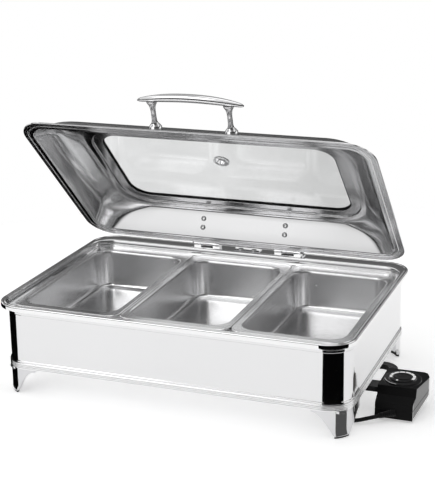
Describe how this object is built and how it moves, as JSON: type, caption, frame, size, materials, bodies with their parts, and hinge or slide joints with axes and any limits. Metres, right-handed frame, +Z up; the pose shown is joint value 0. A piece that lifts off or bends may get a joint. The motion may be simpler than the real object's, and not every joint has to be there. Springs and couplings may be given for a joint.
{
  "type": "electric buffet server",
  "caption": "Electric chafing dish: stainless body on cast feet, water pan, food pans, hinged domed lid with window and bow handle, thermostat box with dial on side arms, mains lead",
  "frame": {"origin": "on the table, under the middle of the whole server with its control box, the lead and plug left out", "axes": "+X to the right along the front, toward the control box; +Y from the front to the hinge side; +Z up"},
  "size_m": [0.635, 0.5239, 0.4597],
  "materials": {
    "polished_stainless": "polished stainless steel sheet",
    "satin_stainless": "satin stainless steel sheet",
    "bright_steel": "bright plated steel",
    "cast_steel": "polished cast foot",
    "clear_glass": "clear tempered glass",
    "black_rubber": "black rubber",
    "black_plastic": "black moulded plastic, fine grain",
    "white_print": "white paint fill",
    "heater_aluminium": "plain aluminium",
    "element_sheath": "heat-darkened steel sheath",
    "black_enamel": "black stove enamel",
    "zinc_screw": "zinc plated steel",
    "pale_ceramic": "pale insulating body"
  },
  "bodies": {
    "frame": {"arm_screws": "zinc_screw", "base_band": "satin_stainless", "body_skirt": "polished_stainless", "bottom_cover": "satin_stainless", "control_arm_front": "black_enamel", "control_arm_rear": "black_enamel", "control_base": "black_plastic", "control_cover": "black_plastic", "cord_gland": "black_rubber", "element_clips": "satin_stainless", "element_terminals": "pale_ceramic", "foot_front_left": "cast_steel", "foot_front_right": "cast_steel", "foot_pad_front_left": "black_rubber", "foot_pad_front_right": "black_rubber", "foot_pad_rear_left": "black_rubber", "foot_pad_rear_right": "black_rubber", "foot_rear_left": "cast_steel", "foot_rear_right": "cast_steel", "foot_screws": "zinc_screw", "heater_bracket_left": "satin_stainless", "heater_bracket_right": "satin_stainless", "heater_plate": "heater_aluminium", "heating_element": "element_sheath", "lead_coil": "black_rubber", "lead_tail": "black_rubber", "mains_lead": "black_rubber", "plug_body": "black_rubber", "plug_pins": "bright_steel", "scale_ring": "black_plastic", "terminal_block": "pale_ceramic", "thermal_cutout": "pale_ceramic", "thermostat": "pale_ceramic"},
    "water_pan_group": {"water_pan": "polished_stainless", "hinge_base": "bright_steel", "hinge_rod": "bright_steel", "hinge_base_screws": "bright_steel"},
    "pan_left": {"food_pan_left": "satin_stainless"},
    "pan_centre": {"food_pan_centre": "satin_stainless"},
    "pan_right": {"food_pan_right": "satin_stainless"},
    "lid": {"handle_bar": "bright_steel", "handle_post_left": "bright_steel", "handle_post_right": "bright_steel", "handle_screws": "bright_steel", "hinge_leaf_left": "bright_steel", "hinge_leaf_right": "bright_steel", "hinge_leaf_screws": "bright_steel", "lid_gasket": "black_rubber", "lid_glass": "clear_glass", "lid_shell": "polished_stainless", "steam_vent": "bright_steel"},
    "knob": {"thermostat_knob": "black_plastic", "knob_marker": "white_print", "thermostat_spindle": "bright_steel"}
  },
  "joints": [
    {"name": "lid_hinge", "type": "hinge", "parent": "water_pan_group", "child": "lid", "pos_m": [-0.0385, 0.17825, 0.157], "axis": [-1, 0, 0], "range_deg": [-44, 46]},
    {"name": "water_pan_lift", "type": "slide", "parent": "frame", "child": "water_pan_group", "axis": [0, 0, 1], "range_m": [0, 0.1]},
    {"name": "food_pan_left_lift", "type": "slide", "parent": "water_pan_group", "child": "pan_left", "axis": [0, 0, 1], "range_m": [0, 0.02]},
    {"name": "food_pan_centre_lift", "type": "slide", "parent": "water_pan_group", "child": "pan_centre", "axis": [0, 0, 1], "range_m": [0, 0.02]},
    {"name": "food_pan_right_lift", "type": "slide", "parent": "water_pan_group", "child": "pan_right", "axis": [0, 0, 1], "range_m": [0, 0.02]},
    {"name": "thermostat_turn", "type": "hinge", "parent": "frame", "child": "knob", "pos_m": [0.282, -0.04875, 0.048], "axis": [0, 0, -1], "range_deg": [0, 270]}
  ]
}
